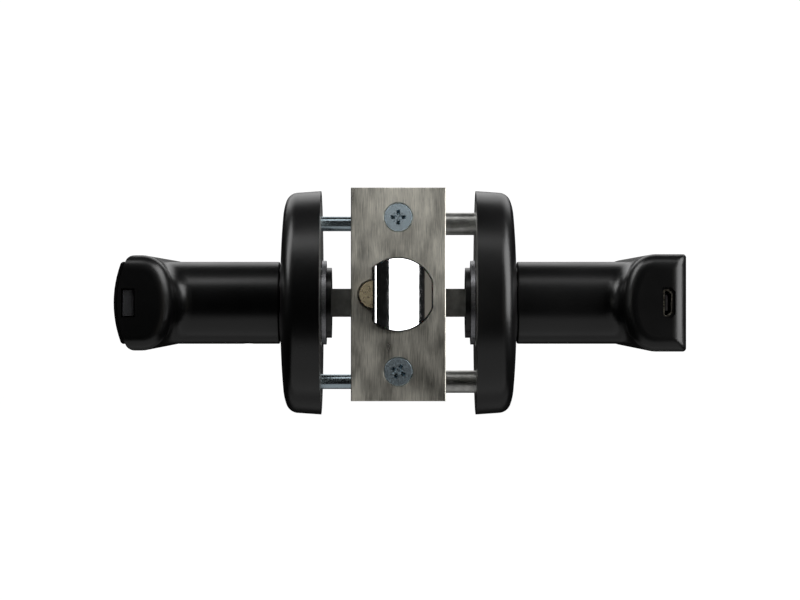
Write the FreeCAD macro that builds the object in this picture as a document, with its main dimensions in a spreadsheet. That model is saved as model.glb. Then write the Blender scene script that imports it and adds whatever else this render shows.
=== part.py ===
"""A keypad smart lock: two lever handles, a spring latch and the clutch and electronics inside.

The origin is on the spindle's axis at the middle of the door's thickness.  +X points to the
outside of the door (the keypad's side), +Y away from the door's edge (the way the levers point)
and +Z up.  Sizes are in millimetres and every one comes from the sheet of driving dimensions.
"""

import FreeCAD, Part
import math
import os
import re
import sys

import Sketcher

OUTSIDE = 1
INSIDE = -1
ABOUT_X = FreeCAD.Rotation(FreeCAD.Vector(0, 1, 0), 90)
ABOUT_Y = FreeCAD.Rotation(FreeCAD.Vector(1, 0, 0), -90)
UPRIGHT = FreeCAD.Rotation()

DIMENSIONS = {
    # the door that the lock is made for
    "door": 44.0,
    "backset": 60.0,
    # roses, the round covers on the door's faces
    "rose_radius": 31.85,
    "rose_draft": 0.45,
    "rose_edge": 3.6,
    "rose_wall": 1.3,
    "rose_height": 11.3,
    "rose_hole": 10.4,
    "plate_radius": 29.0,
    "plate_thick": 2.5,
    "boss_radius": 14.8,
    "boss_height": 8.7,
    "gasket_thick": 1.2,
    "bushing_radius": 12.5,
    "fixing_height": 22.5,
    "post_radius": 3.2,
    "post_length": 13.5,
    "through_bolt_radius": 2.1,
    # the levers
    "neck_radius": 11.7,
    "neck_start": 33.7,
    "neck_bore": 8.5,
    "sleeve_radius": 10.0,
    "sleeve_start": 19.0,
    "grip_back": 62.8,
    "grip_half": 13.7,
    "back_arc": 20.0,
    "back_corner": 8.0,
    "keypad_face": 80.8,
    "face_corner": 1.0,
    "head_end": -19.0,
    "lever_end": 122.0,
    "neck_fillet": 5.0,
    "end_round": 4.2,
    "wall": 1.6,
    # the keypad in the outside lever
    "glass_thick": 1.5,
    "glass_half": 11.9,
    "glass_start": -13.0,
    "glass_end": 116.0,
    "seal_thick": 0.4,
    "board_thick": 1.2,
    "usb_across": 2.45,
    "usb_along": 7.5,
    "usb_place": 75.4,
    "usb_depth": 5.6,
    "usb_recess": 0.7,
    # the battery compartment in the inside lever
    "inside_half": 13.4,
    "cover_face": 79.65,
    "cover_arc": 31.6,
    "cover_thick": 0.8,
    "cover_corner": 2.6,
    "corner_drop": 1.9,
    "corner_run": 2.5,
    "cover_gap": 0.15,
    "button_place": 75.65,
    "button_across": 3.0,
    "button_along": 7.3,
    "button_gap": 0.4,
    "cell_radius": 5.25,
    "cell_length": 43.5,
    "cell_height": 5.6,
    "cell_place": 72.3,
    "cell_start": 12.0,
    "cell_gap": 3.0,
    # the latch in the door's edge
    "latch_rise": 2.3,
    "faceplate_half_width": 12.7,
    "faceplate_half_height": 28.575,
    "faceplate_thick": 1.8,
    "faceplate_edge": 0.25,
    "backing_thick": 1.2,
    "screw_spacing": 41.3,
    "screw_head": 3.8,
    "screw_shank": 1.9,
    "screw_shoulder": 2.3,
    "screw_length": 19.0,
    "tube_radius": 11.5,
    "tube_wall": 1.0,
    "bolt_radius": 9.55,
    "bolt_flat": 6.6,
    "bolt_side": 8.9,
    "bolt_throw": 12.7,
    "bolt_back": -42.0,
    "plunger_radius": 3.55,
    "plunger_reach": 11.6,
    "slide_gap": 0.15,
    "case_half_width": 8.0,
    "case_wall": 1.2,
    "case_front": -18.0,
    "case_back": 15.0,
    "case_top": 19.8,
    "case_bottom": -12.0,
    "rivet_radius": 0.9,
    "hub_radius": 7.5,
    "finger_arm": 16.0,
    "finger_tip": 2.0,
    "finger_lean": 22.5,
    "spindle": 8.0,
    "spindle_bore": 2.0,
    "cable_radius": 1.2,
    # the clutch in the outside lever's neck
    "driver_radius": 8.1,
    "pin_place": 4.9,
    "pin_radius": 2.2,
    "clutch_screw_radius": 1.0,
    "motor_radius": 3.0,
}

document = FreeCAD.newDocument("keypad_smart_lock")
sheet = document.addObject("Spreadsheet::Sheet", "dims")
nodes = []


def fill_sheet():
    for row, (alias, value) in enumerate(DIMENSIONS.items(), start=1):
        sheet.set(f"A{row}", alias)
        sheet.set(f"B{row}", str(value))
        sheet.setAlias(f"B{row}", alias)
    document.recompute()


def formula(text):
    """An expression in which every alias of the sheet has its full name."""
    return re.sub(r"[a-z_]+", lambda m: "dims." + m[0] if m[0] in DIMENSIONS else m[0], str(text))


def number(text):
    return float(sheet.evalExpression(formula(text)))


def bind(thing, **values):
    for name, text in values.items():
        thing.setExpression(name, formula(text))
    return thing


def outward(side, text):
    """A distance along X from the door's middle, towards the given side."""
    return text if side == OUTSIDE else f"-({text})"


def node(thing, label):
    thing.Label = label
    nodes.append(thing)
    return thing


# --- sketches -----------------------------------------------------------------------------


def pin_point(sketch, edge, end, across, up):
    for kind, text in (("DistanceX", across), ("DistanceY", up)):
        constraint = Sketcher.Constraint(kind, -1, 1, edge, end, number(text))
        at = sketch.addConstraint(constraint)
        sketch.setExpression(f"Constraints[{at}]", formula(text))


def add_circle(sketch, across, up, radius):
    centre = FreeCAD.Vector(number(across), number(up), 0)
    circle = Part.Circle(centre, FreeCAD.Vector(0, 0, 1), number(radius))
    edge = sketch.addGeometry(circle, False)
    pin_point(sketch, edge, 3, across, up)
    at = sketch.addConstraint(Sketcher.Constraint("Radius", edge, number(radius)))
    sketch.setExpression(f"Constraints[{at}]", formula(radius))


def arc_between(first, second, radius, turn):
    """The shorter arc from first to second; turn is 1 for anticlockwise and -1 for clockwise."""
    chord = second - first
    middle = (first + second) * 0.5
    left = FreeCAD.Vector(-chord.y, chord.x, 0).normalize()
    centre = middle + left * turn * math.sqrt(max(radius**2 - (chord.Length / 2) ** 2, 0))
    start, stop = (first, second) if turn > 0 else (second, first)
    angles = [math.atan2(p.y - centre.y, p.x - centre.x) for p in (start, stop)]
    if angles[1] < angles[0]:
        angles[1] += 2 * math.pi
    circle = Part.Circle(centre, FreeCAD.Vector(0, 0, 1), radius)
    return Part.ArcOfCircle(circle, *angles)


def add_loop(sketch, corners):
    """A closed outline.  Each corner is (across, up), or (across, up, radius, turn) where the
    edge to the next corner is an arc."""
    places = [FreeCAD.Vector(number(c[0]), number(c[1]), 0) for c in corners]
    edges = []
    for at, corner in enumerate(corners):
        here, there = places[at], places[(at + 1) % len(places)]
        if len(corner) == 2:
            edges.append((sketch.addGeometry(Part.LineSegment(here, there), False), 1, 2))
            continue
        arc = arc_between(here, there, number(corner[2]), corner[3])
        ends = (1, 2) if corner[3] > 0 else (2, 1)
        edges.append((sketch.addGeometry(arc, False), *ends))
    for at, (edge, begin, end) in enumerate(edges):
        following, its_begin, _ = edges[(at + 1) % len(edges)]
        joined = Sketcher.Constraint("Coincident", edge, end, following, its_begin)
        sketch.addConstraint(joined)
    for corner, (edge, begin, end) in zip(corners, edges):
        pin_point(sketch, edge, begin, corner[0], corner[1])
        if len(corner) == 4:
            at = sketch.addConstraint(Sketcher.Constraint("Radius", edge, number(corner[2])))
            sketch.setExpression(f"Constraints[{at}]", formula(corner[2]))


def sketch_on(body, plane, loops, offset="0"):
    """A sketch on one of the body's own origin planes, moved along the plane's normal."""
    sketch = body.newObject("Sketcher::SketchObject", "outline")
    wanted = plane + "_Plane"
    origin_plane = next(f for f in body.Origin.OriginFeatures if f.Role == wanted)
    sketch.AttachmentSupport = [(origin_plane, "")]
    sketch.MapMode = "FlatFace"
    sketch.setExpression(".AttachmentOffset.Base.z", formula(offset))
    for loop in loops:
        if loop[0] == "circle":
            add_circle(sketch, *loop[1:])
        else:
            add_loop(sketch, loop)
    document.recompute()
    return sketch


def mirrored(side, corners):
    """The outline as it is on the given side of the door."""
    if side == OUTSIDE:
        return corners
    return [(outward(side, c[0]), c[1], *([c[2], -c[3]] if len(c) == 4 else [])) for c in corners]


def block(low_x, low_y, high_x, high_y):
    return [(low_x, low_y), (high_x, low_y), (high_x, high_y), (low_x, high_y)]


def spans(side, low, high):
    """The two ends of a stretch along X, the lower first."""
    if side == OUTSIDE:
        return low, high
    return f"-({high})", f"-({low})"


# --- features -----------------------------------------------------------------------------


def new_body(label):
    return document.addObject("PartDesign::Body", label)


def pad(body, plane, loops, low, high):
    """Material between low and high along the plane's axis (X for YZ, Y for XZ, Z for XY)."""
    start = f"-({high})" if plane == "XZ" else low
    sketch = sketch_on(body, plane, loops, start)
    feature = body.newObject("PartDesign::Pad", "pad")
    feature.Profile = sketch
    bind(feature, Length=f"({high}) - ({low})")
    document.recompute()
    return feature


def cut(body, plane, loops, low, high):
    """A pocket between low and high along the plane's axis."""
    before = body.Shape.Volume
    start = f"-({low})" if plane == "XZ" else high
    sketch = sketch_on(body, plane, loops, start)
    feature = body.newObject("PartDesign::Pocket", "pocket")
    feature.Profile = sketch
    bind(feature, Length=f"({high}) - ({low})")
    document.recompute()
    if body.Shape.Volume > before - 1e-3:
        sys.exit(f"a pocket in {body.Label} removes nothing")
    return feature


def turn(body, corners):
    """Material turned about the X axis; each corner is (along X, radius)."""
    sketch = sketch_on(body, "XY", [corners])
    feature = body.newObject("PartDesign::Revolution", "turned")
    feature.Profile = sketch
    feature.ReferenceAxis = (sketch, ["H_Axis"])
    feature.Angle = 360
    document.recompute()
    return feature


def round_edges(body, radius, wanted):
    """Fillet the edges whose middle satisfies wanted(point, edge)."""
    base = body.Tip
    names = []
    for count, edge in enumerate(base.Shape.Edges, start=1):
        middle = edge.valueAt((edge.FirstParameter + edge.LastParameter) / 2)
        if wanted(middle, edge):
            names.append(f"Edge{count}")
    feature = body.newObject("PartDesign::Fillet", "fillet")
    feature.Base = (base, names)
    bind(feature, Radius=radius)
    document.recompute()
    if not names or "Invalid" in feature.State or not feature.Shape.isValid():
        sys.exit(f"{body.Label}: the fillet of {number(radius)} on {names} fails")
    return feature


def rod(rotation, x, y, z, radius, length):
    """A Part cylinder that starts at a point and runs along +Z turned by rotation."""
    piece = document.addObject("Part::Cylinder", "rod")
    piece.Placement = FreeCAD.Placement(FreeCAD.Vector(), rotation)
    bind(piece, Radius=radius, Height=length)
    return place(piece, x, y, z)


def cuboid(x, y, z, length, width, height):
    piece = document.addObject("Part::Box", "cuboid")
    bind(piece, Length=length, Width=width, Height=height)
    return place(piece, x, y, z)


def place(piece, x, y, z):
    for axis, text in zip("xyz", (x, y, z)):
        piece.setExpression(f".Placement.Base.{axis}", formula(text))
    return piece


def less(base, *tools):
    for tool in tools:
        result = document.addObject("Part::Cut", "cut")
        result.Base, result.Tool = base, tool
        base = result
    return base


def joined(*pieces):
    result = document.addObject("Part::MultiFuse", "joined")
    result.Shapes = list(pieces)
    return result


def group(*pieces):
    result = document.addObject("Part::Compound", "group")
    result.Links = list(pieces)
    return result


def coil(rotation, x, y, z, radius, wire, length, turns):
    """A helical spring that starts at a point and runs along +Z turned by rotation."""
    path = document.addObject("Part::Helix", "coil_path")
    bind(path, Radius=radius, Height=length, Pitch=f"({length}) / ({turns})")
    ring = document.addObject("Part::Circle", "coil_wire")
    bind(ring, Radius=wire)
    ring.Placement = FreeCAD.Placement(FreeCAD.Vector(), ABOUT_Y)
    ring.setExpression(".Placement.Base.x", formula(radius))
    document.recompute()
    spring = document.addObject("Part::Sweep", "spring")
    spring.Sections = [ring]
    spring.Spine = (path, [f"Edge{n + 1}" for n in range(len(path.Shape.Edges))])
    spring.Solid = True
    spring.Frenet = True
    spring.Placement = FreeCAD.Placement(FreeCAD.Vector(), rotation)
    return place(spring, x, y, z)


# --- roses and what they hold ---------------------------------------------------------------


def rose(side, label):
    """A shallow cup with a drafted wall, a round edge and a slightly domed front."""
    body = new_body(label)
    face = "door / 2"
    shoulder = "rose_radius - rose_draft"
    corners = [
        (face, "rose_radius"),
        (f"{face} + rose_height - 4.7", shoulder, "rose_edge", -1),
        (f"{face} + rose_height - 1.4", f"{shoulder} - 2.6", "12", -1),
        (f"{face} + rose_height - 0.8", "rose_radius * 0.83", "170", -1),
        (f"{face} + rose_height", "rose_hole"),
        (f"{face} + rose_height - rose_wall", "rose_hole"),
        (f"{face} + rose_height - 0.8 - rose_wall", "rose_radius * 0.83"),
        (f"{face} + rose_height - 4.7", f"{shoulder} - rose_wall"),
        (face, "rose_radius - rose_wall"),
    ]
    turn(body, mirrored(side, corners))
    node(body, label)


def mounting_plate(side, label):
    """A disc with a boss for the neck's bushing, and a hole at each fixing."""
    body = new_body(label)
    face = "door / 2"
    corners = [
        (face, "bushing_radius"),
        (face, "plate_radius"),
        (f"{face} + plate_thick", "plate_radius"),
        (f"{face} + plate_thick", "boss_radius"),
        (f"{face} + boss_height", "boss_radius"),
        (f"{face} + boss_height", "bushing_radius"),
    ]
    turn(body, mirrored(side, corners))
    holes = [("circle", "0", f"{sign} * fixing_height", "through_bolt_radius + 0.2")
             for sign in (1, -1)]
    cut(body, "YZ", holes, *spans(side, face, f"{face} + plate_thick"))
    node(body, label)


def gasket(side, label):
    """A foam ring between the plate's rim and the door, inside the rose."""
    body = new_body(label)
    face = "door / 2"
    inner, outer = "plate_radius + 0.2", "rose_radius - rose_wall - 0.2"
    corners = [
        (face, inner),
        (face, outer),
        (f"{face} + gasket_thick", outer),
        (f"{face} + gasket_thick", inner),
    ]
    turn(body, mirrored(side, corners))
    node(body, label)


def neck_bushing(side, label):
    """A plain bearing for the lever's sleeve."""
    body = new_body(label)
    low, high = "door / 2 + 0.5", "door / 2 + boss_height"
    corners = [
        (low, "sleeve_radius + 0.05"),
        (low, "bushing_radius"),
        (high, "bushing_radius"),
        (high, "sleeve_radius + 0.05"),
    ]
    turn(body, mirrored(side, corners))
    node(body, label)


def return_spring(side, label):
    """The torsion spring that brings a lever back to level, round the plate's boss."""
    low = "door / 2 + plate_thick + 0.9"
    start = low if side == OUTSIDE else "-(door / 2 + boss_height - 0.8)"
    spring = coil(ABOUT_X, start, "0", "0", "boss_radius + 2.6", "0.7",
                  "boss_height - plate_thick - 1.7", "2.5")
    node(spring, label)


def return_cam(side, label):
    """A washer on the sleeve whose tab winds the return spring."""
    body = new_body(label)
    low, high = "door / 2 + boss_height + 0.1", "door / 2 + boss_height + 0.7"
    corners = [
        (low, "sleeve_radius"),
        (low, "16"),
        (high, "16"),
        (high, "sleeve_radius"),
    ]
    turn(body, mirrored(side, corners))
    tab = block("-2", "15.5", "2", "19.5")
    pad(body, "YZ", [tab], *spans(side, low, high))
    node(body, label)


def circlip(side, label):
    """The ring that keeps the lever's sleeve in its bushing."""
    body = new_body(label)
    low, high = "door / 2 - 1.5", "door / 2 - 0.3"
    corners = [
        (low, "sleeve_radius - 0.9"),
        (low, "sleeve_radius + 2"),
        (high, "sleeve_radius + 2"),
        (high, "sleeve_radius - 0.9"),
    ]
    turn(body, mirrored(side, corners))
    cut(body, "YZ", [block("-1.6", "-16", "1.6", "-5")], *spans(side, low, high))
    node(body, label)


def mounting_posts():
    """Two threaded posts on the outside plate, which the through bolts screw into."""
    posts = []
    for sign in (1, -1):
        height = f"{sign} * fixing_height"
        post = rod(ABOUT_X, "door / 2 - post_length", "0", height, "post_radius", "post_length")
        hole = rod(ABOUT_X, "door / 2 - post_length - 1", "0", height,
                   "through_bolt_radius", "post_length")
        posts.append(less(post, hole))
    node(group(*posts), "mounting_posts")


def through_bolts():
    """Two machine screws from the inside plate through the door into the posts."""
    bolts = []
    for sign in (1, -1):
        height = f"{sign} * fixing_height"
        head_face = "-(door / 2 + plate_thick + 2.4)"
        shank = rod(ABOUT_X, "-(door / 2 + plate_thick)", "0", height,
                    "through_bolt_radius", "door / 2 + plate_thick + 15")
        head = rod(ABOUT_X, head_face, "0", height, "3.8", "2.4")
        slot = cuboid(head_face, "-3.2", f"{height} - 0.5", "1.1", "6.4", "1")
        post_slot = cuboid(head_face, "-0.5", f"{height} - 3.2", "1.1", "1", "6.4")
        bolts.append(less(joined(shank, head), slot, post_slot))
    node(group(*bolts), "through_bolts")


# --- levers -------------------------------------------------------------------------------


def back_outline(half):
    """The rounded back of a lever's section, from its top edge to its bottom edge."""
    reach = f"sqrt((back_arc - back_corner)^2 - ({half} - back_corner)^2)"
    corner_x = f"grip_back + back_arc - {reach}"
    share = "back_arc / (back_arc - back_corner)"
    tangent_x = f"grip_back + back_arc - {reach} * {share}"
    tangent_z = f"({half} - back_corner) * {share}"
    return [
        (corner_x, half, "back_corner", 1),
        (tangent_x, tangent_z, "back_arc", 1),
        (tangent_x, f"-({tangent_z})", "back_corner", 1),
        (corner_x, f"-({half})"),
    ]


def lever_blank(side, label, face_corners, half, fillet):
    """The solid lever: a D-section grip on a round neck, with the neck blended into it."""
    body = new_body(label)
    outline = mirrored(side, face_corners + back_outline(half))
    pad(body, "XZ", [outline], "head_end", "lever_end")
    outer_end = number("head_end"), number("lever_end")
    face_x = abs(number(face_corners[0][0]))

    def at_an_end(middle, edge):
        along = edge.BoundBox
        flat = along.YLength < 1e-6 and min(abs(middle.y - y) for y in outer_end) < 1e-6
        return flat and abs(middle.x) < face_x - 1.5

    round_edges(body, fillet, at_an_end)
    pad(body, "YZ", [("circle", "0", "0", "neck_radius")],
        *spans(side, "neck_start", "grip_back + 8"))

    def at_the_neck(middle, edge):
        radius = math.hypot(middle.y, middle.z)
        on_neck = abs(radius - number("neck_radius")) < 0.01
        return on_neck and abs(middle.x) > number("neck_start") + 5

    round_edges(body, "neck_fillet", at_the_neck)

    def at_the_rose(middle, edge):
        return abs(abs(middle.x) - number("neck_start")) < 1e-6

    round_edges(body, "0.5", at_the_rose)
    pad(body, "YZ", [("circle", "0", "0", "sleeve_radius")],
        *spans(side, "sleeve_start", "neck_start + 1"))
    return body


def hollow_neck(side, body, depth):
    """The bore through the neck and the circlip's groove on its sleeve."""
    cut(body, "YZ", [("circle", "0", "0", "neck_bore")], *spans(side, "sleeve_start", depth))
    ring = [("circle", "0", "0", "sleeve_radius + 1"), ("circle", "0", "0", "sleeve_radius - 0.95")]
    cut(body, "YZ", ring, *spans(side, "door / 2 - 1.6", "door / 2 - 0.2"))


def outside_lever():
    """The lever whose flat face carries the keypad and whose end holds the power socket."""
    half = "grip_half"
    face = [
        ("keypad_face - face_corner", f"-({half})", "face_corner", 1),
        ("keypad_face", f"-({half}) + face_corner"),
        ("keypad_face", f"{half} - face_corner", "face_corner", 1),
        ("keypad_face - face_corner", half),
    ]
    body = lever_blank(OUTSIDE, "outside_lever", face, half, "end_round")
    glass_back = "keypad_face - glass_thick - seal_thick - 0.05"
    cut(body, "YZ", [block("glass_start - 0.15", "-glass_half - 0.15",
                           "glass_end + 0.15", "glass_half + 0.15")], glass_back, "keypad_face")
    cut(body, "YZ", [block("glass_start + 1.5", "-(glass_half - 1.5)",
                           "glass_end - 1.5", "glass_half - 1.5")], "grip_back + 7", glass_back)
    hollow_neck(OUTSIDE, body, "grip_back + 7.5")
    low_x, high_x = "usb_place - usb_across / 2 - 0.5", "usb_place + usb_across / 2 + 0.9"
    high_z = "usb_along / 2 + 0.6"
    recess = [
        (low_x, f"-({high_z})"),
        (f"{high_x} - 1.2", f"-({high_z})"),
        (high_x, f"-({high_z}) + 1.2"),
        (high_x, f"{high_z} - 1.2"),
        (f"{high_x} - 1.2", high_z),
        (low_x, high_z),
    ]
    cut(body, "XZ", [recess], "head_end", "head_end + usb_recess")
    cut(body, "XZ", [usb_outline("0.1")], "head_end", "glass_start + 3")
    node(body, "outside_lever")


def usb_outline(margin):
    """The socket's section: a bar with its two outer corners cut off."""
    low_x = f"usb_place - usb_across / 2 - {margin}"
    high_x = f"usb_place + usb_across / 2 + {margin}"
    high_z = f"usb_along / 2 + {margin}"
    return [
        (low_x, f"-({high_z}) + 0.3"),
        (f"{low_x} + 0.3", f"-({high_z})"),
        (f"{high_x} - 1", f"-({high_z})"),
        (high_x, f"-({high_z}) + 1"),
        (high_x, f"{high_z} - 1"),
        (f"{high_x} - 1", high_z),
        (f"{low_x} + 0.3", high_z),
        (low_x, f"{high_z} - 0.3"),
    ]


def cover_edge_x(radius, apex, height):
    """Where a cover arc of the given radius and apex stands at a height."""
    return f"{apex} - {radius} + sqrt(({radius})^2 - ({height})^2)"


def inside_lever():
    """The lever that holds the batteries under its curved cover."""
    half = "inside_half"
    radius = "(cover_arc - cover_thick - cover_gap)"
    apex = "cover_face - cover_thick - cover_gap"
    edge_x = cover_edge_x(radius, apex, half)
    face = [
        (edge_x, f"-({half})", radius, 1),
        (edge_x, half),
    ]
    body = lever_blank(INSIDE, "inside_lever", face, half, "end_round")
    shoulder_x = cover_edge_x(radius, apex, f"{half} - corner_drop")
    for sign, bend in (("", 1), ("-", -1)):
        corner = [
            (shoulder_x, f"{sign}({half} - corner_drop)", "cover_corner", bend),
            (f"{shoulder_x} - corner_run", f"{sign}({half})"),
            (f"{shoulder_x} - corner_run", f"{sign}({half} + 1)"),
            (f"{shoulder_x} + 2", f"{sign}({half} + 1)"),
            (f"{shoulder_x} + 2", f"{sign}({half} - corner_drop)"),
        ]
        cut(body, "XZ", [mirrored(INSIDE, corner)], "head_end", "lever_end")
    low, high = spans(INSIDE, "grip_back + wall + 1.4", "cover_face")
    cut(body, "YZ", [block("cell_start - 24", "-8", "lever_end - 7", "8")], low, high)
    low, high = spans(INSIDE, "cell_place - 4.8", "cover_face")
    cut(body, "YZ", [block("cell_start - 24", "-11", "lever_end - 7", "11")], low, high)
    hollow_neck(INSIDE, body, "grip_back + 7.5")
    grow = "button_gap"
    slot = block(f"-(button_place + button_across / 2 + {grow})",
                 f"-(button_along / 2 + {grow})",
                 f"-(button_place - button_across / 2 - {grow})",
                 f"button_along / 2 + {grow}")
    cut(body, "XZ", [slot], "head_end", "cell_start - 23")
    cut(body, "XY", [("circle", "-(neck_start + 9)", "0", "1.6")], "-(neck_radius + 1)", "-7")
    node(body, "inside_lever")


def lever_grub_screw():
    """The screw under the inside lever's neck that holds it on the spindle's hub."""
    at = "-(neck_start + 9)"
    screw = rod(UPRIGHT, at, "0", "-(neck_radius - 0.6)", "1.58", "2.5")
    socket = rod(UPRIGHT, at, "0", "-(neck_radius - 0.6) - 0.1", "0.8", "1.6")
    node(less(screw, socket), "lever_grub_screw")


# --- the keypad ---------------------------------------------------------------------------


def keypad_glass():
    """The touch panel, flush with the outside lever's face."""
    glass = cuboid("keypad_face - glass_thick", "glass_start", "-glass_half",
                   "glass_thick - 0.05", "glass_end - glass_start", "glass_half * 2")
    node(glass, "keypad_glass")


def keypad_seal():
    """A flat frame of sealing foam behind the glass."""
    body = new_body("keypad_seal")
    outer = block("glass_start", "-glass_half", "glass_end", "glass_half")
    inner = block("glass_start + 1.6", "-(glass_half - 1.6)", "glass_end - 1.6", "glass_half - 1.6")
    high = "keypad_face - glass_thick"
    pad(body, "YZ", [outer, inner], f"{high} - seal_thick", high)
    node(body, "keypad_seal")


def keypad_board():
    """The touch board behind the keypad's glass."""
    back = "keypad_face - glass_thick - seal_thick - 1 - board_thick"
    board = cuboid(back, "glass_start + 2", "-(glass_half - 2)",
                   "board_thick", "glass_end - glass_start - 4", "(glass_half - 2) * 2")
    plug = cuboid("grip_back + 5.2", "-4", "-4", f"{back} - (grip_back + 5.2)", "8", "8")
    node(joined(board, plug), "keypad_board")


def keypad_lights():
    """One light for each of the two rows of six keys, between the board and the glass."""
    lights = []
    low = "keypad_face - glass_thick - seal_thick - 1"
    for row in (-1, 1):
        for column in range(6):
            along = f"glass_start + (glass_end - glass_start) * {column + 0.5} / 6 - 0.8"
            lights.append(cuboid(low, along, f"{row} * glass_half / 2 - 0.8", "0.8", "1.6", "1.6"))
    node(group(*lights), "keypad_lights")


def usb_shell():
    """The socket's folded metal shell, open at the lever's end."""
    body = new_body("usb_shell")
    mouth = "head_end + usb_recess"
    pad(body, "XZ", [usb_outline("0"), usb_outline("-0.3")], mouth, f"{mouth} + usb_depth")
    node(body, "usb_shell")


def usb_tongue():
    """The strip inside the socket that carries its contacts."""
    tongue = cuboid("usb_place - usb_across / 2 + 0.65", "head_end + usb_recess + 0.8",
                    "-usb_along / 2 + 1.6", "0.6", "usb_depth - 0.8", "usb_along - 3.2")
    node(tongue, "usb_tongue")


def usb_board():
    """The small board that the socket is soldered to."""
    board = cuboid("usb_place - usb_across / 2", "head_end + usb_recess + usb_depth",
                   "-usb_along / 2 + 0.4", "0.8", "7", "usb_along - 0.8")
    node(board, "usb_board")


# --- the battery compartment ----------------------------------------------------------------


def battery_cover():
    """The curved plate over the batteries, with two rails along its back."""
    body = new_body("battery_cover")
    half = "inside_half"
    inner = "(cover_arc - cover_thick)"
    inner_apex = "cover_face - cover_thick"
    edge = f"({half} - corner_drop)"
    inner_x = cover_edge_x(inner, inner_apex, edge)
    outer_x = cover_edge_x("cover_arc", "cover_face", f"{edge} - cover_thick")
    corners = [
        (inner_x, f"-{edge}", "cover_thick * 1.3", 1),
        (outer_x, f"-({edge} - cover_thick)", "cover_arc", 1),
        (outer_x, f"{edge} - cover_thick", "cover_thick * 1.3", 1),
        (inner_x, edge, inner, -1),
    ]
    pad(body, "XZ", [mirrored(INSIDE, corners)], "head_end + 0.2", "lever_end - 0.2")
    for sign in (1, -1):
        rail_x = cover_edge_x(inner, inner_apex, "10.4")
        rail = block(f"-({rail_x} + 0.3)", f"{sign} * 10.4 - 0.4",
                     f"-({rail_x} - 1.2)", f"{sign} * 10.4 + 0.4")
        pad(body, "XZ", [rail], "cell_start - 10", "lever_end - 24")
    node(body, "battery_cover")


def release_button():
    """The small button in the lever's end that frees the battery cover."""
    face = "head_end + 0.9"
    cap = cuboid("-(button_place + button_across / 2)", face, "-button_along / 2",
                 "button_across", "4.5", "button_along")
    stem = cuboid("-(button_place + 0.8)", f"{face} + 4.5", "-1.5", "1.6", "2.4", "3")
    node(joined(cap, stem), "release_button")


def button_spring():
    """The spring behind the release button."""
    node(coil(ABOUT_Y, "-button_place", "head_end + 8.2", "0", "1.2", "0.25", "4", "4"),
         "button_spring")


def battery_tray():
    """The floor and end walls that hold the four cells."""
    floor_x = "-(cell_place - cell_radius - 0.15)"
    length = "cell_length * 2 + cell_gap + 6.4"
    floor = cuboid(floor_x, "cell_start - 3.2", "-7.6", "0.9", length, "15.2")
    walls = []
    for start in ("cell_start - 3.2", "cell_start + cell_length * 2 + cell_gap + 2"):
        walls.append(cuboid("-(cell_place + 3)", start, "-10.8", "6.2", "1.2", "21.6"))
        walls.append(cuboid("-(cell_place - 3.1)", start, "-7.6", "3", "1.2", "15.2"))
    node(joined(floor, *walls), "battery_tray")


def cells():
    """Four cylindrical cells in two rows of two, each with its raised positive end."""
    for count, (row, column) in enumerate([(1, 0), (-1, 0), (1, 1), (-1, 1)], start=1):
        start = f"cell_start + {column} * (cell_length + cell_gap)"
        height = f"{row} * cell_height"
        can = rod(ABOUT_Y, "-cell_place", start, height, "cell_radius", "cell_length")
        tip = f"{start} + cell_length" if row > 0 else f"{start} - 0.8"
        nub = rod(ABOUT_Y, "-cell_place", tip, height, "1.9", "0.8")
        node(joined(can, nub), f"battery_cell_{count}")


def battery_contacts():
    """Sprung metal strips at both ends of the cells."""
    strips = []
    for start in ("cell_start - 1.6", "cell_start + cell_length * 2 + cell_gap + 1.2"):
        for sign in (1, -1):
            strips.append(cuboid("-(cell_place + 3)", start, f"{sign} * cell_height - 3.6",
                                 "6", "0.4", "7.2"))
    node(group(*strips), "battery_contacts")


def main_board():
    """The control board in the inside lever's head, behind the release button."""
    board = cuboid("-(cell_place + 1.2)", "cell_start - 21", "-10.6", "1.2", "16.4", "21.2")
    chip = cuboid("-(cell_place + 2.4)", "cell_start - 14", "-8", "1.2", "6", "6")
    plug = cuboid("-cell_place", "cell_start - 14.5", "-4", "4.4", "5", "8")
    seat = cuboid("-(button_place + 1.2)", "head_end + 12.5", "-2", "3.2", "1", "4")
    node(joined(board, chip, plug, seat), "main_board")


# --- spindle, clutch and cable --------------------------------------------------------------


def spindle_hub():
    """The collar in the inside lever's sleeve that the square spindle plugs into."""
    body = new_body("spindle_hub")
    size = "(spindle / 2 + 0.02)"
    square = block(f"-{size}", f"-{size}", size, size)
    pad(body, "YZ", [("circle", "0", "0", "neck_bore - 0.02"), square],
        *spans(INSIDE, "sleeve_start + 0.5", "neck_start + 14"))
    node(body, "spindle_hub")


def square_spindle():
    """The square bar through the latch, hollow for the cable."""
    start, length = "-(neck_start + 12)", "neck_start + 12 + door / 2 + 4"
    bar = cuboid(start, "-spindle / 2", "-spindle / 2", length, "spindle", "spindle")
    bore = rod(ABOUT_X, f"{start} - 1", "0", "0", "spindle_bore", f"{length} + 2")
    node(less(bar, bore), "square_spindle")


def clutch_driver():
    """The disc on the spindle's outside end that the clutch's pin locks to."""
    body = new_body("clutch_driver")
    size = "(spindle / 2 + 0.02)"
    square = block(f"-{size}", f"-{size}", size, size)
    pad(body, "YZ", [("circle", "0", "0", "driver_radius"), square],
        "door / 2", "door / 2 + 3")
    loops = [("circle", "0", "0", "driver_radius"), ("circle", "0", "0", "spindle_bore"),
             ("circle", "0", "pin_place", "pin_radius + 0.25")]
    pad(body, "YZ", loops, "door / 2 + 4", "door / 2 + 7")
    link = [("circle", "0", "0", "driver_radius"), ("circle", "0", "0", "spindle * 0.75")]
    pad(body, "YZ", link, "door / 2 + 3", "door / 2 + 4")
    node(body, "clutch_driver")


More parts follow.
